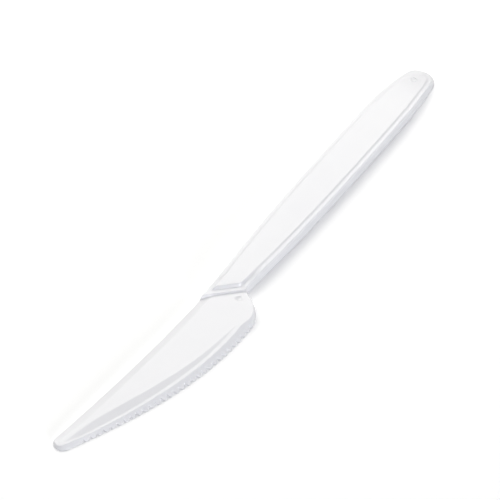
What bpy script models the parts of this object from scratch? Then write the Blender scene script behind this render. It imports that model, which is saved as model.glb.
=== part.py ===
"""A disposable table knife of white polystyrene, moulded in one piece.

The knife lies face up on the table plane z = 0. Its outline is drawn once, where it meets the table.
Ribs cross the knife from a middle line to that outline, and each rib carries the section of the knife
at its place: how far in from the outline a line of the surface lies, and how high. Neighbouring ribs
are lofted together, so the blade, the stepped neck and the hollow-backed handle are one closed body.
"""

import math

import bmesh
import bpy
from mathutils import Matrix, Vector
from mathutils.geometry import interpolate_bezier

# Lengths are in metres. x is measured from the tip towards the butt, y from the centreline of the
# handle towards the spine, and z from the table.
KNIFE_LENGTH = 0.1721

# Plan of the blade
NECK_FROM_TIP = 0.0663          # middle of the band across the neck, on the centreline
SPINE_RISE = 0.00895            # top of the rounded nose, above the centreline
NOSE_RADIUS = 0.0022            # of the nose, along the knife
NOSE_HEIGHT = 0.0067            # foremost point of the nose, above the centreline
NOSE_FOOT = 0.0039              # where the nose turns into the cutting edge, above the centreline
SPINE_SLOPE = -0.146            # of the spine as it leaves the nose
EDGE_SLOPE = -0.478             # of the cutting edge as it leaves the nose
BLADE_DROP = 0.01245            # lowest point of the cutting edge, below the centreline
HEEL_FROM_NECK = 0.0060         # from the lowest point of the edge to the neck
HEEL_LEAN = 0.45                # of the heel as it meets the handle, along the knife for each unit across
SPINE_START = 0.0015            # the spine leaves the handle this far behind the neck

# Plan of the handle
NECK_WIDTH = 0.0088
FLANK_SLOPE = 0.077             # of the handle's sides as they leave the neck
HANDLE_WIDTH = 0.0126
WIDEST_FROM_BUTT = 0.038
BUTT_DEPTH = 0.0051             # length of the rounded end
BUTT_WIDTH = 0.0102             # where the rounded end begins
BUTT_SLOPE = -0.111             # of the sides as they reach the rounded end

# Section of the blade
BLADE_THICKNESS = 0.0025
TIP_THICKNESS = 0.0014
TIP_TAPER_LENGTH = 0.036        # the face thins over this length towards the tip
SPINE_THICKNESS = 0.0019
SPINE_BAND = 0.00245            # sloped strip along the spine
EDGE_LAND = 0.00025             # thickness left at the foot of the cutting edge
EDGE_ANGLE = math.radians(47)   # of the toothed bevel, from the table
LEDGE_WIDTH_BLADE = 0.0011      # narrow flat above the toothed bevel
LEDGE_TAPER = 0.5               # share of its width that this flat loses towards the tip
FACE_DIP = 0.0009               # most that it lies below the face
DIP_ANGLE = math.radians(19)    # of the slope between the face and the flat
DIP_FLATTENING = 0.35           # share of its angle that this slope loses towards the tip
DIP_GROWTH = 0.6                # how fast the flat drops away from the heel
DIP_END = 6                     # how suddenly it comes up again at the tip
SPINE_DRAFT = 0.00015           # lean of the low wall along the spine
HEEL_DRAFT = 0.0006             # lean of the heel's wall, where there are no teeth
BEVEL_LEFT = 0.1                # share of the bevel that is left at the heel

# Teeth
TOOTH_PITCH = 0.0020            # along the edge
NOTCH_WIDTH = 0.0013
NOTCH_DEPTH = 0.0009
FIRST_NOTCH = 0.0041            # along the edge from where the nose turns into it
TOOTHED_LENGTH = 0.0580         # along the edge from the first notch to the last

# Section of the handle
HANDLE_HEIGHT = 0.0042
PANEL_STEP = 0.0003             # the middle panel stands this much above the ledge round it
PANEL_STEP_RUN = 0.0004
LEDGE_WIDTH = 0.00125
SHOULDER = 0.0002               # of the rounded corner between the ledge and the side, across the knife
SHOULDER_DROP = 0.0005          # of the same corner, from the ledge down
SIDE_DRAFT = 0.0001             # lean of the handle's sides
BUTT_DRAFT = 0.0011             # further lean that the sides take at the butt
BUTT_ROLL_LENGTH = 0.030        # the top curves down to the table over this length
BUTT_FLARE_LENGTH = 0.024       # the sides lean out more over this length
LEAST_ROLL = 0.045              # share of the height that is left at the very end

# Neck
NECK_SLANT = math.radians(45)
BAND_WIDTH = 0.0015
BAND_HEIGHT = 0.0032
STEP_RUN = 0.0003               # length of the steep step from the band to the blade
PANEL_END_RUN = 0.0011          # length of the rounded end of the panel
SLANT_BLADE_REACH = 0.028       # over these lengths the ribs turn from slanted to square
SLANT_HANDLE_REACH = 0.020
LEDGE_FALL = 0.008              # the ledge comes down to the band over this length

# Hollow back of the handle
WALL = 0.0012
ROOF = 0.0013
CHANNEL_DRAFT = 0.0002
CHANNEL_FROM_NECK = 0.0045
CHANNEL_FROM_BUTT = 0.0125
CHANNEL_END_RUN = 0.0006

# Pull of the curves of the outline, as a share of the distance between their ends
EASY_PULL = 1 / 3
ROUND_PULL = 0.39
HEEL_PULL = 0.42
SOFT_PULL = 0.3

# Fineness of the loft
CURVE_STEPS = 40
BLADE_STATION = 0.0030
HEEL_STATION = 0.0014
HEEL_REACH = 0.014              # ribs are close together over this length in front of the neck
HANDLE_STATION = 0.0050
FAN_RAYS = 10
FLAT_REST = 0.0003              # short flat inside the last line of a section
MIDDLE_BEND = 2.5               # how late the middle line rises towards the nose
LEAST_SQUARENESS = 0.5          # a rib that meets the outline at a flatter angle is not corrected further
MOST_FILLED = 0.9               # share of a rib's length that its section may take

NECK_X = NECK_FROM_TIP
BELLY_X = NECK_X - HEEL_FROM_NECK
BUTT_X = KNIFE_LENGTH - BUTT_DEPTH
WIDEST_X = KNIFE_LENGTH - WIDEST_FROM_BUTT
BAND_START = NECK_X - BAND_WIDTH / 2
BAND_END = NECK_X + BAND_WIDTH / 2


def smooth(start, end, x):
    """0 before start, 1 after end, with a smooth change between."""
    t = min(max((x - start) / (end - start), 0.0), 1.0)
    return t * t * (3 - 2 * t)


def stretch(start, heading_out, end, heading_in, pull_out=EASY_PULL, pull_in=EASY_PULL):
    """One smooth stretch of the outline, which leaves and arrives in the given headings."""
    reach = (end - start).length
    leave = start + heading_out.normalized() * reach * pull_out
    arrive = end - heading_in.normalized() * reach * pull_in
    points = interpolate_bezier(start, leave, arrive, end, CURVE_STEPS)
    return [Vector(point[:2]) for point in points[:-1]]


def handle_side():
    """One side of the handle, from the neck to the middle of the butt."""
    waist = Vector((NECK_X + NECK_WIDTH / 2, NECK_WIDTH / 2))
    widest = Vector((WIDEST_X, HANDLE_WIDTH / 2))
    turn = Vector((BUTT_X, BUTT_WIDTH / 2))
    end = Vector((KNIFE_LENGTH, 0.0))
    along = Vector((1.0, 0.0))
    ending = Vector((1.0, BUTT_SLOPE))
    flank = stretch(waist, Vector((1.0, FLANK_SLOPE)), widest, along)
    back = stretch(widest, along, turn, ending)
    round_end = stretch(turn, ending, end, Vector((0.0, -1.0)), ROUND_PULL, ROUND_PULL)
    return flank + back + round_end + [end]


def blade_outline():
    """The blade's outline, as the spine with the nose, and the cutting edge with the heel."""
    neck = Vector((NECK_X + SPINE_START, NECK_WIDTH / 2))
    crown = Vector((NOSE_RADIUS, SPINE_RISE))
    nose = Vector((0.0, NOSE_HEIGHT))
    foot = Vector((NOSE_RADIUS, NOSE_FOOT))
    belly = Vector((BELLY_X, -BLADE_DROP))
    corner = Vector((NECK_X + NECK_WIDTH / 2, -NECK_WIDTH / 2))
    forward = Vector((-1.0, 0.0))
    backward = Vector((1.0, 0.0))
    down = Vector((0.0, -1.0))
    along_spine = Vector((-1.0, -SPINE_SLOPE))
    along_edge = Vector((1.0, EDGE_SLOPE))
    spine = stretch(neck, forward, crown, along_spine)
    nose_top = stretch(crown, along_spine, nose, down, ROUND_PULL, ROUND_PULL)
    nose_foot = stretch(nose, down, foot, along_edge, ROUND_PULL, SOFT_PULL)
    edge = stretch(foot, along_edge, belly, backward, SOFT_PULL, ROUND_PULL)
    heel = stretch(belly, backward, corner, Vector((HEEL_LEAN, 1.0)), HEEL_PULL, HEEL_PULL)
    return spine + nose_top + nose_foot, edge + heel


def outline():
    """The closed outline on the table, counter-clockwise seen from above."""
    side = handle_side()
    far_side = [point for point in reversed(side)]
    near_side = [Vector((point.x, -point.y)) for point in side[:-1]]
    back, edge = blade_outline()
    return far_side + back + edge + near_side


def middle_line(x):
    """The line from which the ribs start: along the handle's centre, then rising towards the nose."""
    if x >= NECK_X:
        return Vector((x, 0.0))
    return Vector((x, NOSE_HEIGHT * ((NECK_X - x) / (NECK_X - NOSE_RADIUS)) ** MIDDLE_BEND))


def slant(x):
    """How far a rib leans: square to the knife at both ends, and along the steps at the neck."""
    rise = smooth(BAND_START - SLANT_BLADE_REACH, BAND_START - 4 * STEP_RUN, x)
    fall = smooth(BAND_END + 2 * PANEL_END_RUN, BAND_END + SLANT_HANDLE_REACH, x)
    return math.tan(NECK_SLANT) * rise * (1 - fall)


def spread(start, end, spacing):
    """Evenly spaced places from start up to, but not at, end."""
    count = max(1, round((end - start) / spacing))
    return [start + (end - start) * index / count for index in range(count)]


def stations():
    """Places of the ribs along the knife, close together where its form changes."""
    foot = BAND_START - STEP_RUN
    panel = BAND_END + PANEL_END_RUN
    channel = BAND_END + CHANNEL_FROM_NECK
    channel_end = KNIFE_LENGTH - CHANNEL_FROM_BUTT
    places = spread(NOSE_RADIUS, foot - HEEL_REACH, BLADE_STATION)
    places += spread(foot - HEEL_REACH, foot, HEEL_STATION)
    places += [foot, BAND_START]
    places += spread(BAND_END, panel, PANEL_END_RUN / 4)
    places += spread(panel, channel, HANDLE_STATION)
    places += [channel, channel + CHANNEL_END_RUN]
    places += spread(channel + CHANNEL_END_RUN, channel_end - CHANNEL_END_RUN, HANDLE_STATION)[1:]
    places += [channel_end - CHANNEL_END_RUN, channel_end]
    places += spread(channel_end, BUTT_X, HANDLE_STATION / 3)[1:]
    return places + [BUTT_X]


def blade_face(x):
    """Height of the blade's flat face, thinner towards the tip."""
    part = min(max((TIP_TAPER_LENGTH - x) / (TIP_TAPER_LENGTH - NOSE_RADIUS), 0.0), 1.0)
    return BLADE_THICKNESS - (BLADE_THICKNESS - TIP_THICKNESS) * part ** 2


def butt_roll(x):
    """Share of its height that the handle keeps as it curves down to the table at the butt."""
    start = KNIFE_LENGTH - BUTT_ROLL_LENGTH
    part = min(max((x - start) / BUTT_ROLL_LENGTH, 0.0), 1.0)
    return max(math.sqrt(1 - part ** 2), LEAST_ROLL)


def face_dip(part):
    """How far the flat above the teeth lies below the face: none at the heel, most near the tip."""
    return FACE_DIP * part ** DIP_GROWTH * (1 - part ** DIP_END)


def panel_end(x):
    """Height of the panel's rounded end, from the band up to the full height of the handle."""
    part = min(max((x - BAND_END) / PANEL_END_RUN, 0.0), 1.0)
    return BAND_HEIGHT + (HANDLE_HEIGHT - BAND_HEIGHT) * math.sin(part * math.pi / 2)


def handle_section(x):
    """Lines of the handle's section, from the outside in, as distance from the outline and height."""
    top = panel_end(x)
    ledge = BAND_HEIGHT + (HANDLE_HEIGHT - PANEL_STEP - BAND_HEIGHT) * smooth(BAND_END, BAND_END + LEDGE_FALL, x)
    ledge = min(ledge, top)
    flare = KNIFE_LENGTH - BUTT_FLARE_LENGTH
    lean = SIDE_DRAFT + BUTT_DRAFT * max((x - flare) / BUTT_FLARE_LENGTH, 0.0) ** 2
    panel = lean + LEDGE_WIDTH
    return [
        (0.0, 0.0),
        (lean, ledge - SHOULDER_DROP),
        (lean + SHOULDER, ledge),
        (panel, ledge),
        (panel + PANEL_STEP_RUN, top),
        (panel + PANEL_STEP_RUN + FLAT_REST, top),
    ]


def spine_section(x):
    """Lines of the blade's section on the spine side."""
    face = blade_face(x)
    spine = SPINE_THICKNESS * face / BLADE_THICKNESS
    return [
        (0.0, 0.0),
        (SPINE_DRAFT, spine - SPINE_DRAFT),
        (2 * SPINE_DRAFT, spine),
        ((2 * SPINE_DRAFT + SPINE_BAND) / 2, (spine + face) / 2),
        (SPINE_BAND, face),
        (SPINE_BAND + FLAT_REST, face),
    ]


def edge_section(x, hit_x):
    """Lines of the blade's section on the cutting side. The bevel runs out where the heel turns."""
    face = blade_face(x)
    part = min(max((BELLY_X - hit_x) / (BELLY_X - NOSE_RADIUS), 0.0), 1.0)
    dip = face_dip(part)
    dip_run = dip / math.tan(DIP_ANGLE * (1 - DIP_FLATTENING * part ** 2))
    flat = face - dip
    run_out = 1 - (1 - BEVEL_LEFT) * smooth(BELLY_X, NECK_X, hit_x)
    bevel = (flat - EDGE_LAND) / math.tan(EDGE_ANGLE) * run_out
    land = flat - bevel * math.tan(EDGE_ANGLE)
    wall = HEEL_DRAFT * (1 - run_out)
    ledge = wall + bevel
    inner = ledge + LEDGE_WIDTH_BLADE * (1 - LEDGE_TAPER * part)
    return [
        (0.0, 0.0),
        (wall, land),
        (wall + bevel / 2, (land + flat) / 2),
        (ledge, flat),
        (inner, flat),
        (inner + dip_run + FLAT_REST, face),
    ]


def top_height(x):
    """Height of the top along the middle line."""
    if x < BAND_START:
        return blade_face(x)
    return panel_end(x) * butt_roll(x)


def roof_height(x):
    """Height of the underside along the middle line: the hollow of the handle, or the table."""
    start = BAND_END + CHANNEL_FROM_NECK
    end = KNIFE_LENGTH - CHANNEL_FROM_BUTT
    if x <= start or x >= end:
        return 0.0
    return (HANDLE_HEIGHT * butt_roll(x)) - ROOF


def reach_outline(points, origin, direction):
    """Where a rib meets the outline: the distance, and how squarely it meets it."""
    best = None
    for index, start in enumerate(points):
        edge = points[(index + 1) % len(points)] - start
        cross = direction.x * edge.y - direction.y * edge.x
        if cross == 0.0:
            continue
        offset = start - origin
        distance = (offset.x * edge.y - offset.y * edge.x) / cross
        along = (offset.x * direction.y - offset.y * direction.x) / cross
        if distance > 0.0 and 0.0 <= along <= 1.0 and (best is None or distance < best[0]):
            normal = Vector((edge.y, -edge.x)).normalized()
            best = (distance, max(normal.dot(direction), LEAST_SQUARENESS))
    return best


def rib_plan():
    """Every rib once round the knife, as its station, its heading and its share of the cutting side."""
    places = stations()
    last = len(places) - 1
    ribs = []
    for index in range(last, -1, -1):
        ribs.append((index, Vector((-slant(places[index]), 1.0)).normalized(), 0.0))
    for ray in range(1, FAN_RAYS):
        turn = math.pi / 2 + math.pi * ray / FAN_RAYS
        ribs.append((0, Vector((math.cos(turn), math.sin(turn))), ray / FAN_RAYS))
    for index in range(last + 1):
        ribs.append((index, Vector((slant(places[index]), -1.0)).normalized(), 1.0))
    for ray in range(1, FAN_RAYS):
        turn = -math.pi / 2 + math.pi * ray / FAN_RAYS
        ribs.append((last, Vector((math.cos(turn), math.sin(turn))), 1.0))
    return places, ribs


def rib_section(x, hit_x, cutting_share):
    """The section that a rib carries."""
    if x >= BAND_START:
        return handle_section(x)
    pairs = zip(spine_section(x), edge_section(x, hit_x))
    mixed = [Vector(spine).lerp(Vector(edge), cutting_share) for spine, edge in pairs]
    return [(line.x, line.y) for line in mixed]


def rib_points(x, heading, cutting_share, points):
    """The corners of one rib, from the top inwards of the outline down to the underside."""
    origin = middle_line(x)
    distance, squareness = reach_outline(points, origin, heading)
    hit_x = (origin + heading * distance).x
    section = rib_section(x, hit_x, cutting_share)
    squeeze = min(1.0, MOST_FILLED * distance * squareness / section[-1][0])
    corners = []
    for inset, height in reversed(section):
        place = origin + heading * (distance - inset * squeeze / squareness)
        corners.append((place.x, place.y, height * butt_roll(place.x)))
    for inset, height in ((WALL, 0.0), (WALL + CHANNEL_DRAFT, roof_height(x))):
        place = origin + heading * (distance - inset / squareness)
        corners.append((place.x, place.y, height))
    return corners


def knife_mesh():
    """Lofts the ribs into one closed body."""
    points = outline()
    places, ribs = rib_plan()
    mesh = bmesh.new()
    middles = [middle_line(x) for x in places]
    tops = [mesh.verts.new((place.x, place.y, top_height(x))) for x, place in zip(places, middles)]
    roofs = [mesh.verts.new((place.x, place.y, roof_height(x))) for x, place in zip(places, middles)]
    columns = []
    for index, heading, cutting_share in ribs:
        corners = rib_points(places[index], heading, cutting_share, points)
        columns.append([tops[index]] + [mesh.verts.new(corner) for corner in corners] + [roofs[index]])
    for column, following in zip(columns, columns[1:] + columns[:1]):
        for level in range(len(column) - 1):
            corners = [column[level], following[level], following[level + 1], column[level + 1]]
            mesh.faces.new(list(dict.fromkeys(corners)))
    bmesh.ops.recalc_face_normals(mesh, faces=mesh.faces)
    data = bpy.data.meshes.new("knife")
    mesh.to_mesh(data)
    mesh.free()
    return data


def notch_places():
    """Middle of each notch, evenly spaced along the cutting edge, with the direction out of the blade."""
    edge = blade_outline()[1]
    count = round(TOOTHED_LENGTH / TOOTH_PITCH) + 1
    places = []
    passed = 0.0
    for start, end in zip(edge, edge[1:]):
        run = end - start
        reach = FIRST_NOTCH + len(places) * TOOTH_PITCH - passed
        while reach <= run.length and len(places) < count:
            places.append((start + run.normalized() * reach, Vector((run.y, -run.x))))
            reach += TOOTH_PITCH
        passed += run.length
    return places


def notch_cutter():
    """A three-sided prism, whose forward corner cuts one notch of the edge."""
    spread_out = NOTCH_WIDTH / 2 / NOTCH_DEPTH
    overrun = NOTCH_DEPTH / 4
    back = NOTCH_DEPTH + overrun
    mesh = bmesh.new()
    corners = [(-NOTCH_DEPTH, 0.0), (overrun, -back * spread_out), (overrun, back * spread_out)]
    base = [mesh.verts.new((x, y, -BLADE_THICKNESS)) for x, y in corners]
    face = mesh.faces.new(base)
    extruded = bmesh.ops.extrude_face_region(mesh, geom=[face])["geom"]
    top = [item for item in extruded if isinstance(item, bmesh.types.BMVert)]
    bmesh.ops.translate(mesh, verts=top, vec=(0.0, 0.0, 3 * BLADE_THICKNESS))
    bmesh.ops.recalc_face_normals(mesh, faces=mesh.faces)
    data = bpy.data.meshes.new("notch")
    mesh.to_mesh(data)
    mesh.free()
    return data


def polystyrene():
    """White high-gloss polystyrene, as it comes from a polished mould."""
    material = bpy.data.materials.new("white_polystyrene")
    material.use_nodes = True
    shader = material.node_tree.nodes["Principled BSDF"]
    shader.inputs["Base Color"].default_value = (0.90, 0.90, 0.92, 1.0)
    shader.inputs["Roughness"].default_value = 0.25
    shader.inputs["Metallic"].default_value = 0.0
    shader.inputs["IOR"].default_value = 1.59
    return material


def build():
    """Makes the knife, cuts its teeth and centres it over the origin."""
    for item in list(bpy.data.objects):
        bpy.data.objects.remove(item)
    parts = bpy.data.collections.new("disposable_knife")
    cutters = bpy.data.collections.new("notch_cutters")
    bpy.context.scene.collection.children.link(parts)
    bpy.context.scene.collection.children.link(cutters)

    data = knife_mesh()
    low = Vector([min(vertex.co[axis] for vertex in data.vertices) for axis in range(3)])
    high = Vector([max(vertex.co[axis] for vertex in data.vertices) for axis in range(3)])
    centre = Vector(((low.x + high.x) / 2, (low.y + high.y) / 2, low.z))
    data.transform(Matrix.Translation(-centre))
    data.materials.append(polystyrene())
    data.shade_smooth()
    data.set_sharp_from_angle(angle=math.radians(20))
    knife = bpy.data.objects.new("knife", data)
    parts.objects.link(knife)

    notch = notch_cutter()
    for number, (place, outward) in enumerate(notch_places()):
        cutter = bpy.data.objects.new(f"notch_{number + 1:02d}", notch)
        cutter.location = (place.x - centre.x, place.y - centre.y, 0.0)
        cutter.rotation_euler = (0.0, 0.0, math.atan2(outward.y, outward.x))
        cutter.hide_render = True
        cutter.display_type = "WIRE"
        cutters.objects.link(cutter)
    teeth = knife.modifiers.new("teeth", "BOOLEAN")
    teeth.operation = "DIFFERENCE"
    teeth.solver = "EXACT"
    teeth.operand_type = "COLLECTION"
    teeth.collection = cutters


build()
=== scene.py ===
"""A disposable table knife of white polystyrene, lying face up on a white table."""

import math

import bmesh
import bpy
import numpy as np
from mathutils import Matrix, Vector
from mathutils.geometry import interpolate_bezier


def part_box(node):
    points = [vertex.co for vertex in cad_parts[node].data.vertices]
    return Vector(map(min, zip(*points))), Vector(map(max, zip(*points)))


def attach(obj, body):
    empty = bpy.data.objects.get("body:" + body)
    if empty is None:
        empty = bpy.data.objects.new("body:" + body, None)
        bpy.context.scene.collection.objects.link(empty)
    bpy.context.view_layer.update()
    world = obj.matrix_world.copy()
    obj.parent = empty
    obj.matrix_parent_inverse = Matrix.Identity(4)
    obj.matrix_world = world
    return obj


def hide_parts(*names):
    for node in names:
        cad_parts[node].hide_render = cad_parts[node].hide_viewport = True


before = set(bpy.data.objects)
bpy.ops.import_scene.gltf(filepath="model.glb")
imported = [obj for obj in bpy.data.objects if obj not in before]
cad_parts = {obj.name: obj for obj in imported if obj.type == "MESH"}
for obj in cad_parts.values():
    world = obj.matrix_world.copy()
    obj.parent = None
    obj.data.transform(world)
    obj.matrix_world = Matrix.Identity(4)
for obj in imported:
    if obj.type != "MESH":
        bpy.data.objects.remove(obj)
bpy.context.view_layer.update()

# The knife's plan.
# The whole knife is one shot of polystyrene, and its outline is the parting line of the mould. It is drawn
# once, from the tip backwards, in metres. x runs along the knife, y across it towards the spine, and y = 0
# is the middle of the handle.
knife_low, knife_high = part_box("knife")
KNIFE_LENGTH = knife_high.x - knife_low.x
NECK_X = 0.0663                  # middle of the band across the neck, from the tip
SPINE_RISE = 0.00895             # top of the rounded nose, above the centreline
NOSE_RADIUS = 0.0022             # of the nose, along the knife
NOSE_HEIGHT = 0.0067             # foremost point of the nose, above the centreline
NOSE_FOOT = 0.0039               # where the nose turns into the cutting edge, above the centreline
SPINE_SLOPE = -0.146             # of the spine as it leaves the nose
EDGE_SLOPE = -0.478              # of the cutting edge as it leaves the nose
BLADE_DROP = 0.01245             # lowest point of the cutting edge, below the centreline
HEEL_FROM_NECK = 0.0060          # from that lowest point to the neck
HEEL_LEAN = 0.45                 # of the heel as it meets the handle, along the knife for each unit across
SPINE_START = 0.0015             # the spine leaves the handle this far behind the neck
NECK_WIDTH = 0.0088
FLANK_SLOPE = 0.077              # of the handle's sides as they leave the neck
HANDLE_WIDTH = 0.0126
WIDEST_FROM_BUTT = 0.038
BUTT_DEPTH = 0.0051              # length of the rounded end
BUTT_WIDTH = 0.0102              # where the rounded end begins
BUTT_SLOPE = -0.111              # of the sides as they reach the rounded end
EASY_PULL = 1 / 3                # how far a curve holds its heading, as a share of its reach
ROUND_PULL = 0.39
HEEL_PULL = 0.42
SOFT_PULL = 0.3
CURVE_STEPS = 160
BELLY_X = NECK_X - HEEL_FROM_NECK
WIDEST_X = KNIFE_LENGTH - WIDEST_FROM_BUTT
BUTT_X = KNIFE_LENGTH - BUTT_DEPTH


def smooth(start, end, x):
    """0 before start, 1 after end, with a smooth change between."""
    t = min(max((x - start) / (end - start), 0.0), 1.0)
    return t * t * (3 - 2 * t)


def stretch(start, heading_out, end, heading_in, pull_out=EASY_PULL, pull_in=EASY_PULL):
    """One smooth stretch of the outline, which leaves and arrives in the given headings."""
    reach = (end - start).length
    leave = start + heading_out.normalized() * reach * pull_out
    arrive = end - heading_in.normalized() * reach * pull_in
    points = interpolate_bezier(start, leave, arrive, end, CURVE_STEPS)
    return [Vector(point[:2]) for point in points[:-1]]


def handle_side():
    """One side of the handle, from the neck to the middle of the butt."""
    waist = Vector((NECK_X + NECK_WIDTH / 2, NECK_WIDTH / 2))
    widest = Vector((WIDEST_X, HANDLE_WIDTH / 2))
    turn = Vector((BUTT_X, BUTT_WIDTH / 2))
    end = Vector((KNIFE_LENGTH, 0.0))
    along = Vector((1.0, 0.0))
    ending = Vector((1.0, BUTT_SLOPE))
    flank = stretch(waist, Vector((1.0, FLANK_SLOPE)), widest, along)
    back = stretch(widest, along, turn, ending)
    round_end = stretch(turn, ending, end, Vector((0.0, -1.0)), ROUND_PULL, ROUND_PULL)
    return flank + back + round_end + [end]


def blade_outline():
    """The blade's outline, as the spine with the nose, and the cutting edge with the heel."""
    neck = Vector((NECK_X + SPINE_START, NECK_WIDTH / 2))
    crown = Vector((NOSE_RADIUS, SPINE_RISE))
    nose = Vector((0.0, NOSE_HEIGHT))
    foot = Vector((NOSE_RADIUS, NOSE_FOOT))
    belly = Vector((BELLY_X, -BLADE_DROP))
    corner = Vector((NECK_X + NECK_WIDTH / 2, -NECK_WIDTH / 2))
    backward = Vector((1.0, 0.0))
    down = Vector((0.0, -1.0))
    along_spine = Vector((-1.0, -SPINE_SLOPE))
    along_edge = Vector((1.0, EDGE_SLOPE))
    spine = stretch(neck, -backward, crown, along_spine)
    nose_top = stretch(crown, along_spine, nose, down, ROUND_PULL, ROUND_PULL)
    nose_foot = stretch(nose, down, foot, along_edge, ROUND_PULL, SOFT_PULL)
    edge = stretch(foot, along_edge, belly, backward, SOFT_PULL, ROUND_PULL)
    heel = stretch(belly, backward, corner, Vector((HEEL_LEAN, 1.0)), HEEL_PULL, HEEL_PULL)
    return spine + nose_top + nose_foot, edge + heel


side = handle_side()
spine_line, edge_line = blade_outline()
outline = side[::-1] + spine_line + edge_line + [Vector((point.x, -point.y)) for point in side[:-1]]
plan_middle = (min(point.y for point in outline) + max(point.y for point in outline)) / 2
plan_shift = Vector((knife_low.x, -plan_middle, knife_low.z))

# The knife's section.
# The blade is solid, with a sloped strip along its spine and a narrow flat above the toothed bevel. The
# handle stands higher, with drafted sides, a ledge, a raised middle panel and a hollow back. The mould's
# polished steel gives every edge a small radius.
HANDLE_HEIGHT = knife_high.z - knife_low.z
BLADE_THICKNESS = 0.0025
TIP_THICKNESS = 0.0014
TIP_TAPER_LENGTH = 0.036         # the face thins over this length towards the tip
SPINE_THICKNESS = 0.0019
SPINE_BAND = 0.00245             # sloped strip along the spine
SPINE_DRAFT = 0.00015            # lean of the low wall along the spine
EDGE_LAND = 0.00025              # thickness left at the foot of the cutting edge
EDGE_ANGLE = math.radians(47)    # of the toothed bevel, from the table
LEDGE_WIDTH_BLADE = 0.0011       # narrow flat above the toothed bevel
LEDGE_TAPER = 0.5                # share of its width that this flat loses towards the tip
FACE_DIP = 0.0009                # most that it lies below the face
DIP_ANGLE = math.radians(19)     # of the slope between the face and the flat
DIP_FLATTENING = 0.35            # share of its angle that this slope loses towards the tip
DIP_GROWTH = 0.6                 # how fast the flat drops away from the heel
DIP_END = 6                      # how suddenly it comes up again at the tip
HEEL_DRAFT = 0.0006              # lean of the heel's wall, where there are no teeth
BEVEL_LEFT = 0.1                 # share of the bevel that is left at the heel
NOSE_WRAP = 0.75                 # below 1 the bevel reaches further round the nose
PANEL_STEP = 0.0003              # the middle panel stands this much above the ledge round it
PANEL_STEP_RUN = 0.0006
LEDGE_WIDTH = 0.00115
SHOULDER = 0.0002                # of the rounded corner between the ledge and the side, across the knife
SHOULDER_DROP = 0.0005           # of the same corner, from the ledge down
SIDE_DRAFT = 0.0001              # lean of the handle's sides
BUTT_DRAFT = 0.0011              # further lean that the sides take at the butt
BUTT_ROLL_LENGTH = 0.030         # the top curves down to the table over this length
BUTT_FLARE_LENGTH = 0.024        # the sides lean out more over this length
LEAST_ROLL = 0.045               # share of the height that is left at the very end
NECK_SLANT = math.radians(45)
BAND_WIDTH = 0.0015
BAND_HEIGHT = 0.0032
STEP_RUN = 0.0003                # length of the steep step from the band to the blade
STEP_ROUND = 0.00008             # the step's curve reaches this much past both its ends
RAMP_RUN = 0.0015                # length of the same step where it runs out at the knife's edges
PANEL_END_RUN = 0.0011           # length of the rounded end of the panel
LEDGE_FALL = 0.008               # the ledge comes down to the band over this length
SLANT_BLADE_REACH = 0.028        # over these lengths the ribs turn from slanted to square
SLANT_HANDLE_REACH = 0.020
WALL = 0.0012
ROOF = 0.0013
CHANNEL_DRAFT = 0.0002
CHANNEL_FROM_NECK = 0.0045       # the hollow of the handle's back lies between these two distances
CHANNEL_FROM_BUTT = 0.0125
CHANNEL_END_RUN = 0.0006
RIM_ROUND = 0.00012
FOOT_ROUND = 0.0002
LINE_ROUND = 0.00018
SHOULDER_ROUND = 0.0003
SOFT_ROUND = 0.0008
FLAT_REST = 0.0003               # short flat inside the first corner of a section
MIDDLE_BEND = 2.5                # how late the middle line rises towards the nose
BAND_START = NECK_X - BAND_WIDTH / 2
BAND_END = NECK_X + BAND_WIDTH / 2
CHANNEL_START = BAND_END + CHANNEL_FROM_NECK
CHANNEL_END = KNIFE_LENGTH - CHANNEL_FROM_BUTT


def middle_line(x):
    """The line from which the ribs start: along the handle's centre, then rising towards the nose."""
    rise = max((NECK_X - x) / (NECK_X - NOSE_RADIUS), 0.0) ** MIDDLE_BEND
    return Vector((x, NOSE_HEIGHT * rise))


def slant(x):
    """How far a rib leans: square to the knife at both ends, and along the steps at the neck."""
    rise = smooth(BAND_START - SLANT_BLADE_REACH, BAND_START - 4 * STEP_RUN, x)
    fall = smooth(BAND_END + 2 * PANEL_END_RUN, BAND_END + SLANT_HANDLE_REACH, x)
    return math.tan(NECK_SLANT) * rise * (1 - fall)


def blade_face(x):
    """Height of the blade's flat face, thinner towards the tip."""
    part = min(max((TIP_TAPER_LENGTH - x) / (TIP_TAPER_LENGTH - NOSE_RADIUS), 0.0), 1.0)
    return BLADE_THICKNESS - (BLADE_THICKNESS - TIP_THICKNESS) * part ** 2


def butt_roll(x):
    """Share of its height that the handle keeps as it curves down to the table at the butt."""
    part = min(max((x - KNIFE_LENGTH) / BUTT_ROLL_LENGTH + 1.0, 0.0), 1.0)
    return max(math.sqrt(1 - part ** 2), LEAST_ROLL)


def panel_end(x):
    """Height of the panel's rounded end, from the band up to the full height of the handle."""
    part = min(max((x - BAND_END) / PANEL_END_RUN, 0.0), 1.0)
    return BAND_HEIGHT + (HANDLE_HEIGHT - BAND_HEIGHT) * math.sin(part * math.pi / 2)


def spine_corners(x):
    """Corners of the blade's section on the spine side, from the inside out.

    A corner is its distance in from the outline, its height, and how far its rounding reaches.
    """
    face = blade_face(x)
    spine = SPINE_THICKNESS * face / BLADE_THICKNESS
    return [
        (SPINE_BAND + FLAT_REST, face, 0.0),
        (SPINE_BAND, face, SOFT_ROUND),
        ((2 * SPINE_DRAFT + SPINE_BAND) / 2, (spine + face) / 2, SOFT_ROUND),
        (2 * SPINE_DRAFT, spine, SHOULDER_ROUND),
        (SPINE_DRAFT, spine - SPINE_DRAFT, SHOULDER_ROUND),
        (0.0, 0.0, RIM_ROUND),
    ]


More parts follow.
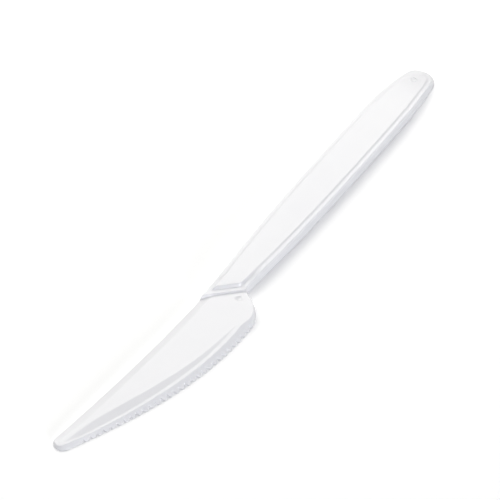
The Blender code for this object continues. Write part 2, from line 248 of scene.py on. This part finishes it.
def edge_corners(x, hit_x):
    """Corners on the cutting side, from the inside out. The bevel runs out where the heel turns."""
    face = blade_face(x)
    part = min(max((BELLY_X - hit_x) / (BELLY_X - NOSE_RADIUS), 0.0), 1.0)
    dip = FACE_DIP * part ** DIP_GROWTH * (1 - part ** DIP_END)
    dip_run = dip / math.tan(DIP_ANGLE * (1 - DIP_FLATTENING * part ** 2))
    flat = face - dip
    run_out = 1 - (1 - BEVEL_LEFT) * smooth(BELLY_X, NECK_X, hit_x)
    bevel = (flat - EDGE_LAND) / math.tan(EDGE_ANGLE) * run_out
    land = flat - bevel * math.tan(EDGE_ANGLE)
    wall = HEEL_DRAFT * (1 - run_out)
    inner = wall + bevel + LEDGE_WIDTH_BLADE * (1 - LEDGE_TAPER * part)
    return [
        (inner + FLAT_REST + dip_run, face, 0.0),
        (inner + dip_run, face, SHOULDER_ROUND),
        (inner, flat, LINE_ROUND),
        (wall + bevel, flat, LINE_ROUND),
        (wall, land, RIM_ROUND),
        (0.0, 0.0, RIM_ROUND),
    ]


def handle_corners(x):
    """Corners of the handle's section, from the inside out."""
    top = panel_end(x)
    rise = smooth(BAND_END, BAND_END + LEDGE_FALL, x)
    ledge = min(BAND_HEIGHT + (HANDLE_HEIGHT - PANEL_STEP - BAND_HEIGHT) * rise, top)
    flare = max((x - KNIFE_LENGTH) / BUTT_FLARE_LENGTH + 1.0, 0.0)
    lean = SIDE_DRAFT + BUTT_DRAFT * flare ** 2
    panel = lean + LEDGE_WIDTH
    return [
        (panel + PANEL_STEP_RUN + FLAT_REST, top, 0.0),
        (panel + PANEL_STEP_RUN, top, LINE_ROUND),
        (panel, ledge, LINE_ROUND),
        (lean + SHOULDER, ledge, LINE_ROUND),
        (lean, ledge - SHOULDER_DROP, SHOULDER_ROUND),
        (0.0, 0.0, FOOT_ROUND),
    ]


def back_corners(x):
    """Corners of the underside, from the rim of the handle in to the roof of its hollow."""
    begin = smooth(CHANNEL_START, CHANNEL_START + CHANNEL_END_RUN, x)
    end = smooth(CHANNEL_END - CHANNEL_END_RUN, CHANNEL_END, x)
    roof = (HANDLE_HEIGHT * butt_roll(x) - ROOF) * begin * (1 - end)
    return [
        (WALL, 0.0, RIM_ROUND),
        (WALL + CHANNEL_DRAFT, roof, SHOULDER_ROUND),
        (WALL + CHANNEL_DRAFT + FLAT_REST, roof, 0.0),
    ]


def section(x, hit_x, cutting_share):
    """All corners of one rib. The step at the neck runs out into a ramp at both edges of the knife."""
    spine = np.array(spine_corners(x))
    edge = np.array(edge_corners(x, hit_x))
    blade = spine + (edge - spine) * cutting_share ** NOSE_WRAP
    outward = 1 - blade[:, 0] / blade[0, 0]
    runs = STEP_RUN + (RAMP_RUN - STEP_RUN) * outward
    steps = [[smooth(BAND_START - run - STEP_ROUND, BAND_START + STEP_ROUND, x)] for run in runs]
    top = blade + (np.array(handle_corners(x)) - blade) * np.array(steps)
    return top, np.array(back_corners(x))


# The moulding.
# Blade, neck and handle fill one cavity, so they are one closed skin. Ribs cross the knife from a middle
# line to the outline, close together at the neck's sharp steps, and fan out round the nose and the butt.
# Neighbouring ribs are joined by faces.
ARC_STEPS = 4
PLAIN_SPACING = 0.0005
RAMP_SPACING = 0.00025
STEP_SPACING = 0.00008
CHANNEL_END_SPACING = CHANNEL_END_RUN / 6
FAN_RAYS = 28
INNER_ROWS = 4                   # rows of faces between the middle line and the section's first corner
LEAST_SQUARENESS = 0.5           # a rib that meets the outline at a flatter angle is not corrected further
MOST_FILLED = 0.9                # share of a rib's length that its section may take


def rounded(corners):
    """Points of a section: each corner but the two ends becomes a short arc."""
    points = [Vector(corners[0][:2])]
    for before, corner, after in zip(corners, corners[1:], corners[2:]):
        middle = Vector(corner[:2])
        back = Vector(before[:2]) - middle
        onward = Vector(after[:2]) - middle
        start = middle + back.normalized() * min(corner[2], back.length / 2)
        end = middle + onward.normalized() * min(corner[2], onward.length / 2)
        for step in range(ARC_STEPS + 1):
            share = step / ARC_STEPS
            points.append(start.lerp(middle, share).lerp(middle.lerp(end, share), share))
    points.append(Vector(corners[-1][:2]))
    return points


def reach_outline(origin, direction):
    """Where a rib meets the outline: the distance, and how squarely it meets it."""
    best = None
    for index, start in enumerate(outline):
        edge = outline[(index + 1) % len(outline)] - start
        cross = direction.x * edge.y - direction.y * edge.x
        if cross == 0.0:
            continue
        offset = start - origin
        distance = (offset.x * edge.y - offset.y * edge.x) / cross
        along = (offset.x * direction.y - offset.y * direction.x) / cross
        if distance > 0.0 and 0.0 <= along <= 1.0 and (best is None or distance < best[0]):
            normal = Vector((edge.y, -edge.x)).normalized()
            best = (distance, max(normal.dot(direction), LEAST_SQUARENESS))
    return best


def spread(start, end, spacing):
    """Evenly spaced places from start up to, but not at, end."""
    return list(np.linspace(start, end, max(1, round((end - start) / spacing)), endpoint=False))


def rib_places():
    """Places of the ribs along the knife."""
    step_foot = BAND_START - STEP_RUN - 2 * STEP_ROUND
    panel = BAND_END + PANEL_END_RUN
    places = spread(NOSE_RADIUS, step_foot - RAMP_RUN, PLAIN_SPACING)
    places += spread(step_foot - RAMP_RUN, step_foot, RAMP_SPACING)
    places += spread(step_foot, panel, STEP_SPACING)
    places += spread(panel, CHANNEL_START, PLAIN_SPACING)
    places += spread(CHANNEL_START, CHANNEL_START + CHANNEL_END_RUN, CHANNEL_END_SPACING)
    places += spread(CHANNEL_START + CHANNEL_END_RUN, CHANNEL_END - CHANNEL_END_RUN, PLAIN_SPACING)
    places += spread(CHANNEL_END - CHANNEL_END_RUN, CHANNEL_END, CHANNEL_END_SPACING)
    places += spread(CHANNEL_END, BUTT_X, PLAIN_SPACING)
    return places + [BUTT_X]


def rib_points(x, heading, cutting_share):
    """The points of one rib, from beside the middle line over the top, round the edge and back below."""
    origin = middle_line(x)
    distance, squareness = reach_outline(origin, heading)
    hit_x = (origin + heading * distance).x
    top, back = section(x, hit_x, cutting_share)
    top[:, 0] *= min(1.0, MOST_FILLED * distance * squareness / top[0, 0])
    profile = rounded([tuple(corner) for corner in np.vstack([top, back])])
    on_top = 1 + (len(top) - 1) * (ARC_STEPS + 1)
    points = []
    for share in np.linspace(0.0, 1.0, INNER_ROWS + 1)[1:-1]:
        place = origin + heading * (distance - profile[0].x / squareness) * share
        points.append((place.x, place.y, profile[0].y * butt_roll(place.x)))
    for index, (inset, height) in enumerate(profile):
        place = origin + heading * (distance - inset / squareness)
        roll = butt_roll(place.x) if index < on_top else 1.0
        points.append((place.x, place.y, height * roll))
    for share in np.linspace(1.0, 0.0, INNER_ROWS + 1)[1:-1]:
        place = origin + heading * (distance - profile[-1].x / squareness) * share
        points.append((place.x, place.y, profile[-1].y))
    return points


def rib_plan(places):
    """Every rib once round the knife: its place, its heading and its share of the cutting side."""
    last = len(places) - 1
    ribs = [(index, Vector((-slant(places[index]), 1.0)), 0.0) for index in range(last, -1, -1)]
    for ray in range(1, FAN_RAYS):
        turn = math.pi / 2 + math.pi * ray / FAN_RAYS
        ribs.append((0, Vector((math.cos(turn), math.sin(turn))), ray / FAN_RAYS))
    ribs += [(index, Vector((slant(places[index]), -1.0)), 1.0) for index in range(last + 1)]
    for ray in range(1, FAN_RAYS):
        turn = -math.pi / 2 + math.pi * ray / FAN_RAYS
        ribs.append((last, Vector((math.cos(turn), math.sin(turn))), 1.0))
    return ribs


def top_height(x):
    """Height of the top along the middle line."""
    step = smooth(BAND_START - STEP_RUN - STEP_ROUND, BAND_START + STEP_ROUND, x)
    return blade_face(x) + (panel_end(x) * butt_roll(x) - blade_face(x)) * step


def lofted_skin():
    """The closed skin of the knife, before its teeth are cut."""
    places = rib_places()
    skin = bmesh.new()
    tops = []
    roofs = []
    for x in places:
        middle = middle_line(x)
        tops.append(skin.verts.new((middle.x, middle.y, top_height(x))))
        roofs.append(skin.verts.new((middle.x, middle.y, back_corners(x)[-1][1])))
    columns = []
    for index, heading, cutting_share in rib_plan(places):
        points = rib_points(places[index], heading.normalized(), cutting_share)
        columns.append([tops[index]] + [skin.verts.new(point) for point in points] + [roofs[index]])
    for column, following in zip(columns, columns[1:] + columns[:1]):
        for level in range(len(column) - 1):
            corners = [column[level], following[level], following[level + 1], column[level + 1]]
            skin.faces.new(list(dict.fromkeys(corners)))
    bmesh.ops.translate(skin, verts=skin.verts, vec=plan_shift)
    bmesh.ops.recalc_face_normals(skin, faces=skin.faces)
    mesh = bpy.data.meshes.new("knife_moulding")
    skin.to_mesh(mesh)
    skin.free()
    return mesh


knife = bpy.data.objects.new("knife_moulding", lofted_skin())
bpy.context.scene.collection.objects.link(knife)

# The teeth.
# The edge isn't ground. The mould leaves a row of small V-shaped notches with rounded roots along it, from
# behind the nose to the start of the heel. One cutter is repeated at even steps along the edge line.
TOOTH_PITCH = 0.0020
NOTCH_WIDTH = 0.0013
NOTCH_DEPTH = 0.0009
NOTCH_ROOT = 0.00016             # width of the root, and its rounding
ROOT_STEPS = 3
TIP_NOTCH = 0.65                 # size of the first notch, as a share of the full size
FULL_NOTCH_AT = 0.4              # share of the row at which the notches reach their full size
FIRST_NOTCH = 0.0041             # along the edge from where the nose turns into it
TOOTHED_LENGTH = 0.0580          # along the edge from the first notch to the last
WELD = 0.000001                  # corners that a cut leaves closer than this become one


def add_node(tree, kind, settings=None, links=None):
    """Adds one node. Settings are properties, or inputs by name or number. Links feed its inputs."""
    node = tree.nodes.new(kind)
    for name, value in (settings or {}).items():
        if isinstance(name, str) and hasattr(node, name):
            setattr(node, name, value)
        else:
            node.inputs[name].default_value = value
    for name, socket in (links or {}).items():
        tree.links.new(socket, node.inputs[name])
    return node


def cutter_nodes(tree, given):
    """One upright V-shaped cutter, twice as wide and deep as a notch: half of it lies off the edge."""
    mouth = add_node(tree, "ShaderNodeMath", {"operation": "MULTIPLY", 1: 2.0}, {0: given["Width"]})
    reach = add_node(tree, "ShaderNodeMath", {"operation": "MULTIPLY", 1: 2.0}, {0: given["Depth"]})
    vee = add_node(
        tree, "GeometryNodeCurvePrimitiveQuadrilateral", {"mode": "TRAPEZOID", "Offset": 0.0},
        {"Bottom Width": mouth.outputs[0], "Top Width": given["Root"], "Height": reach.outputs[0]},
    )
    softened = add_node(
        tree, "GeometryNodeFilletCurve", {"mode": "POLY", "Count": ROOT_STEPS, "Limit Radius": True},
        {"Curve": vee.outputs["Curve"], "Radius": given["Root"]},
    )
    stem_end = add_node(tree, "ShaderNodeCombineXYZ", {}, {"Z": given["Height"]})
    stem_start = add_node(
        tree, "ShaderNodeVectorMath", {"operation": "SCALE", "Scale": -1.0}, {0: stem_end.outputs[0]}
    )
    stem = add_node(
        tree, "GeometryNodeCurvePrimitiveLine", {},
        {"Start": stem_start.outputs[0], "End": stem_end.outputs[0]},
    )
    cutter = add_node(
        tree, "GeometryNodeCurveToMesh", {"Fill Caps": True},
        {"Curve": stem.outputs["Curve"], "Profile Curve": softened.outputs["Curve"]},
    )
    return cutter.outputs["Mesh"]


def growth_nodes(tree, given):
    """The cutter's size along the row: it grows from the tip until it is full."""
    along = tree.nodes.new("GeometryNodeSplineParameter")
    growth = add_node(
        tree, "ShaderNodeMapRange", {"To Max": 1.0},
        {"Value": along.outputs["Factor"], "From Max": given["Full From"], "To Min": given["Tip Share"]},
    )
    share = growth.outputs["Result"]
    return add_node(tree, "ShaderNodeCombineXYZ", {"Z": 1.0}, {"X": share, "Y": share}).outputs[0]


def notch_tree():
    """A tree that sets the cutter at even steps along a line, between two lengths from its start."""
    tree = bpy.data.node_groups.new("notch_row", "GeometryNodeTree")
    tree.interface.new_socket("Geometry", in_out="INPUT", socket_type="NodeSocketGeometry")
    for name in ("First", "Last", "Width", "Depth", "Root", "Height", "Tip Share", "Full From"):
        tree.interface.new_socket(name, in_out="INPUT", socket_type="NodeSocketFloat")
    tree.interface.new_socket("Count", in_out="INPUT", socket_type="NodeSocketInt")
    tree.interface.new_socket("Material", in_out="INPUT", socket_type="NodeSocketMaterial")
    tree.interface.new_socket("Geometry", in_out="OUTPUT", socket_type="NodeSocketGeometry")
    given = tree.nodes.new("NodeGroupInput").outputs
    toothed = add_node(
        tree, "GeometryNodeTrimCurve", {"mode": "LENGTH"},
        {"Curve": given["Geometry"], 4: given["First"], 5: given["Last"]},
    )
    steps = add_node(
        tree, "GeometryNodeResampleCurve", {"mode": "COUNT"},
        {"Curve": toothed.outputs["Curve"], "Count": given["Count"]},
    )
    tangent = tree.nodes.new("GeometryNodeInputTangent")
    facing = add_node(
        tree, "FunctionNodeAlignEulerToVector", {"axis": "X", "pivot_axis": "Z"},
        {"Vector": tangent.outputs["Tangent"]},
    )
    row = add_node(
        tree, "GeometryNodeInstanceOnPoints", {},
        {"Points": steps.outputs["Curve"], "Instance": cutter_nodes(tree, given),
         "Rotation": facing.outputs[0], "Scale": growth_nodes(tree, given)},
    )
    real = add_node(tree, "GeometryNodeRealizeInstances", {}, {"Geometry": row.outputs["Instances"]})
    dressed = add_node(
        tree, "GeometryNodeSetMaterial", {},
        {"Geometry": real.outputs["Geometry"], "Material": given["Material"]},
    )
    add_node(tree, "NodeGroupOutput", {}, {"Geometry": dressed.outputs["Geometry"]})
    return tree


def evaluated_mesh(thing):
    """The mesh of an object with its modifiers carried out."""
    graph = bpy.context.evaluated_depsgraph_get()
    return bpy.data.meshes.new_from_object(thing.evaluated_get(graph))


def combine(cutter, operation):
    """Joins a shape to the knife, or cuts it out, welds what the cut left apart, and removes the shape."""
    change = knife.modifiers.new("change", "BOOLEAN")
    change.operation = operation
    change.solver = "EXACT"
    change.object = cutter
    joined = bmesh.new()
    joined.from_mesh(evaluated_mesh(knife))
    bmesh.ops.remove_doubles(joined, verts=joined.verts, dist=WELD)
    joined.to_mesh(knife.data)
    joined.free()
    knife.modifiers.clear()
    bpy.data.objects.remove(cutter)


def edge_curve():
    """The cutting edge as a curve on the table, from the nose to the neck."""
    curve = bpy.data.curves.new("cutting_edge", "CURVE")
    curve.dimensions = "3D"
    line = curve.splines.new("POLY")
    line.points.add(len(edge_line) - 1)
    for point, place in zip(line.points, edge_line):
        point.co = (*(Vector((place.x, place.y, 0.0)) + plan_shift), 1.0)
    return curve


polystyrene = bpy.data.materials.new("gloss_white_polystyrene")
notches = bpy.data.objects.new("notch_row", edge_curve())
bpy.context.scene.collection.objects.link(notches)
row = notches.modifiers.new("row", "NODES")
row.node_group = notch_tree()
notch_sizes = {
    "First": FIRST_NOTCH,
    "Last": FIRST_NOTCH + TOOTHED_LENGTH,
    "Width": NOTCH_WIDTH,
    "Depth": NOTCH_DEPTH,
    "Root": NOTCH_ROOT,
    "Height": 2 * BLADE_THICKNESS,
    "Tip Share": TIP_NOTCH,
    "Full From": FULL_NOTCH_AT,
    "Count": round(TOOTHED_LENGTH / TOOTH_PITCH) + 1,
    "Material": polystyrene,
}
for socket in row.node_group.interface.items_tree:
    if socket.name in notch_sizes:
        row[socket.identifier] = notch_sizes[socket.name]
cutter = bpy.data.objects.new("notch_cutter", evaluated_mesh(notches))
bpy.context.scene.collection.objects.link(cutter)
bpy.data.objects.remove(notches)
combine(cutter, "DIFFERENCE")

# The mould's marks.
# An ejector pin leaves a shallow round dimple in the blade below the neck. An insert in the mould leaves a
# small raised ring on the slope of the butt. Both are bare.
DIMPLE_PLACE = Vector((0.0667, -0.0045))
DIMPLE_WIDTH = 0.0018
DIMPLE_DEPTH = 0.00025
BALL_SEGMENTS = 96
BALL_RINGS = 64
RING_PLACE = Vector((0.1652, 0.0006))
RING_WIDTH = 0.0019              # from the middle of its rounded rim to the middle on the far side
RING_RIM = 0.0004                # thickness of that rim
RING_PROUD = 0.00016             # the ring stands this much above the slope
RING_SEGMENTS = 48
RIM_SEGMENTS = 16


def dimple_ball():
    """The ball whose cap is the dimple."""
    radius = (DIMPLE_WIDTH ** 2 / 4 + DIMPLE_DEPTH ** 2) / (2 * DIMPLE_DEPTH)
    centre = Vector((*DIMPLE_PLACE, blade_face(DIMPLE_PLACE.x) + radius - DIMPLE_DEPTH)) + plan_shift
    bpy.ops.mesh.primitive_uv_sphere_add(
        segments=BALL_SEGMENTS, ring_count=BALL_RINGS, radius=radius, location=centre
    )
    return bpy.context.object


def butt_ring():
    """The ring, sunk into the slope of the butt."""
    x = RING_PLACE.x
    fall = (top_height(x - RING_WIDTH / 2) - top_height(x + RING_WIDTH / 2)) / RING_WIDTH
    centre = Vector((*RING_PLACE, top_height(x) + RING_PROUD - RING_RIM / 2)) + plan_shift
    bpy.ops.mesh.primitive_torus_add(
        major_radius=RING_WIDTH / 2, minor_radius=RING_RIM / 2,
        major_segments=RING_SEGMENTS, minor_segments=RIM_SEGMENTS,
        location=centre, rotation=(0.0, math.atan(fall), 0.0),
    )
    return bpy.context.object


combine(dimple_ball(), "DIFFERENCE")
combine(butt_ring(), "UNION")

# The plastic.
# General-purpose polystyrene with white pigment, from a polished mould, is a clean, slightly cold white
# and has a soft gloss. Light travels a little way inside it, so thin edges stay bright. Its flow leaves
# long, shallow waves and faint clouds. Its fine grain is drawn coarser than it is, so that it shows.
PIGMENT_WHITE = "#EEEEF0"
PIGMENT_CLOUD = "#EAEAED"
CLOUD_SIZE = 0.009
GLOSS_ROUGHNESS = 0.26
REFRACTIVE_INDEX = 1.59
LIGHT_INSIDE = 0.6               # share of the light that travels inside before it comes back
LIGHT_TRAVEL = 0.0006            # how far that light gets
WAVE_LENGTH = 0.006
WAVE_HEIGHT = 0.00006
WAVE_STRENGTH = 0.4
GRAIN_WIDTH = 0.00045
GRAIN_HEIGHT = 0.00001
GRAIN_STRENGTH = 0.25
CREASE_ANGLE = math.radians(40)  # an edge that turns more than this stays crisp


def linear(hex_colour):
    """An sRGB hex colour as linear RGBA."""
    parts = [int(hex_colour[start:start + 2], 16) / 255 for start in (1, 3, 5)]
    return [part / 12.92 if part <= 0.04045 else ((part + 0.055) / 1.055) ** 2.4 for part in parts] + [1.0]


def dress_polystyrene(material):
    """Pigmented gloss polystyrene with flow waves and a faint moulded grain."""
    material.use_nodes = True
    tree = material.node_tree
    shader = tree.nodes["Principled BSDF"]
    shader.inputs["Roughness"].default_value = GLOSS_ROUGHNESS
    shader.inputs["IOR"].default_value = REFRACTIVE_INDEX
    shader.inputs["Subsurface Weight"].default_value = LIGHT_INSIDE
    shader.inputs["Subsurface Radius"].default_value = (1.0, 1.0, 1.0)
    shader.inputs["Subsurface Scale"].default_value = LIGHT_TRAVEL
    where = add_node(tree, "ShaderNodeTexCoord")
    clouds = add_node(
        tree, "ShaderNodeTexNoise", {"Scale": 1 / CLOUD_SIZE, "Detail": 3.0},
        {"Vector": where.outputs["Object"]},
    )
    tint = add_node(
        tree, "ShaderNodeMix",
        {"data_type": "RGBA", 6: linear(PIGMENT_WHITE), 7: linear(PIGMENT_CLOUD)},
        {0: clouds.outputs["Fac"]},
    )
    tree.links.new(tint.outputs[2], shader.inputs["Base Color"])
    waves = add_node(
        tree, "ShaderNodeTexNoise", {"Scale": 1 / WAVE_LENGTH, "Detail": 1.0},
        {"Vector": where.outputs["Object"]},
    )
    grain = add_node(
        tree, "ShaderNodeTexNoise", {"Scale": 1 / GRAIN_WIDTH, "Detail": 2.0},
        {"Vector": where.outputs["Object"]},
    )
    wavy = add_node(
        tree, "ShaderNodeBump", {"Strength": WAVE_STRENGTH, "Distance": WAVE_HEIGHT},
        {"Height": waves.outputs["Fac"]},
    )
    grained = add_node(
        tree, "ShaderNodeBump", {"Strength": GRAIN_STRENGTH, "Distance": GRAIN_HEIGHT},
        {"Height": grain.outputs["Fac"], "Normal": wavy.outputs["Normal"]},
    )
    tree.links.new(grained.outputs["Normal"], shader.inputs["Normal"])


dress_polystyrene(polystyrene)
knife.data.materials.clear()
knife.data.materials.append(polystyrene)
knife.data.shade_smooth()
knife.data.set_sharp_from_angle(angle=CREASE_ANGLE)
evened = knife.modifiers.new("evened_normals", "WEIGHTED_NORMAL")
evened.keep_sharp = True
knife.data = evaluated_mesh(knife)
knife.modifiers.clear()
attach(knife, "root")
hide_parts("knife")

# The table.
# A plain top of matt white laminate, on which the knife lies face up. It looks brighter to the camera than
# to the light in the room, so that it ends in plain white and still shows the knife's shadow.
TABLE_SIZE = 3.0
TABLE_WHITE = "#FCFCFC"
TABLE_SEEN = 1.21


def table_laminate():
    """The laminate, with its brighter twin for the camera."""
    material = bpy.data.materials.new("white_table_laminate")
    material.use_nodes = True
    tree = material.node_tree
    tree.nodes.remove(tree.nodes["Principled BSDF"])
    white = linear(TABLE_WHITE)
    bright = [part * TABLE_SEEN for part in white[:3]] + [1.0]
    matt = add_node(tree, "ShaderNodeBsdfDiffuse", {"Color": white})
    seen = add_node(tree, "ShaderNodeBsdfDiffuse", {"Color": bright})
    path = add_node(tree, "ShaderNodeLightPath")
    surface = add_node(
        tree, "ShaderNodeMixShader", {},
        {0: path.outputs["Is Camera Ray"], 1: matt.outputs[0], 2: seen.outputs[0]},
    )
    tree.links.new(surface.outputs[0], tree.nodes["Material Output"].inputs["Surface"])
    return material


def table():
    """A flat square of table under the knife."""
    top = bmesh.new()
    bmesh.ops.create_grid(top, x_segments=1, y_segments=1, size=TABLE_SIZE / 2)
    bmesh.ops.translate(top, verts=top.verts, vec=(0.0, 0.0, knife_low.z))
    mesh = bpy.data.meshes.new("table")
    top.to_mesh(mesh)
    top.free()
    mesh.materials.append(table_laminate())
    thing = bpy.data.objects.new("table", mesh)
    bpy.context.scene.collection.objects.link(thing)
    return thing


table()

# The light.
# A bright room with four soft lights. A high and a low one beyond the butt give the level faces their
# sheen and the soft shadow. One beside the spine lights its strip, and a low one on the side of the cutting
# edge lights the walls. Bearings, in degrees, turn from the butt towards the spine.
ROOM_WHITE = "#F2F5FF"
ROOM_LIGHT = 0.18
BACKDROP_WHITE = "#FFFFFF"
LAMP_DISTANCE = 1.4
LAMPS = {
    "high_softbox": {"bearing": 35, "height": 55, "size": 1.1, "power": 11.5, "white": "#FFFEFA"},
    "low_softbox": {"bearing": 35, "height": 18, "size": 0.9, "power": 2.0, "white": "#FFFEFA"},
    "spine_softbox": {"bearing": 92, "height": 42, "size": 0.9, "power": 7.4, "white": "#FFFEFA"},
    "edge_softbox": {"bearing": 245, "height": 9, "size": 0.45, "power": 10.7, "white": "#FBFCFF"},
}


def white_room():
    """The room's even light, which shows as a plain white backdrop to the camera and in reflections."""
    world = bpy.data.worlds.new("white_room")
    world.use_nodes = True
    tree = world.node_tree
    room = tree.nodes["Background"]
    room.inputs["Color"].default_value = linear(ROOM_WHITE)
    room.inputs["Strength"].default_value = ROOM_LIGHT
    backdrop = add_node(
        tree, "ShaderNodeBackground", {"Color": linear(BACKDROP_WHITE), "Strength": 1.0}
    )
    ray = add_node(tree, "ShaderNodeLightPath")
    mirrored = add_node(
        tree, "ShaderNodeMath", {"operation": "ADD"},
        {0: ray.outputs["Is Glossy Ray"], 1: ray.outputs["Is Transmission Ray"]},
    )
    seen = add_node(
        tree, "ShaderNodeMath", {"operation": "ADD", "use_clamp": True},
        {0: ray.outputs["Is Camera Ray"], 1: mirrored.outputs[0]},
    )
    choice = add_node(
        tree, "ShaderNodeMixShader", {},
        {0: seen.outputs[0], 1: room.outputs[0], 2: backdrop.outputs[0]},
    )
    tree.links.new(choice.outputs[0], tree.nodes["World Output"].inputs["Surface"])
    return world


def pointing(target, bearing, height, distance):
    """Place and rotation of something that looks at a target from a bearing and a height."""
    level = math.cos(height)
    away = Vector((math.cos(bearing) * level, math.sin(bearing) * level, math.sin(height)))
    return target + away * distance, (-away).to_track_quat("-Z", "Y").to_euler()


bpy.context.scene.world = white_room()
for name, given in LAMPS.items():
    lamp = bpy.data.lights.new(name, "AREA")
    lamp.shape = "SQUARE"
    lamp.size = given["size"]
    lamp.color = linear(given["white"])[:3]
    lamp.energy = given["power"]
    softbox = bpy.data.objects.new(name, lamp)
    softbox.location, softbox.rotation_euler = pointing(
        Vector(), math.radians(given["bearing"]), math.radians(given["height"]), LAMP_DISTANCE
    )
    bpy.context.scene.collection.objects.link(softbox)

# The camera.
# A long lens looks down on the knife from beyond its tip, on the side of the cutting edge.
CAMERA_AIM = Vector((-0.001858, 0.005826, 0.0))
CAMERA_BEARING = math.radians(-144.813)
CAMERA_HEIGHT = math.radians(51)
CAMERA_DISTANCE = 0.560
SENSOR_MM = 36.0
LENS_MM = 142.32

lens = bpy.data.cameras.new("camera")
lens.sensor_width = SENSOR_MM
lens.lens = LENS_MM
camera = bpy.data.objects.new("camera", lens)
camera.location, camera.rotation_euler = pointing(
    CAMERA_AIM, CAMERA_BEARING, CAMERA_HEIGHT, CAMERA_DISTANCE
)
bpy.context.scene.collection.objects.link(camera)
bpy.context.scene.camera = camera
bpy.context.scene.view_settings.view_transform = "Standard"

bpy.context.view_layer.update()
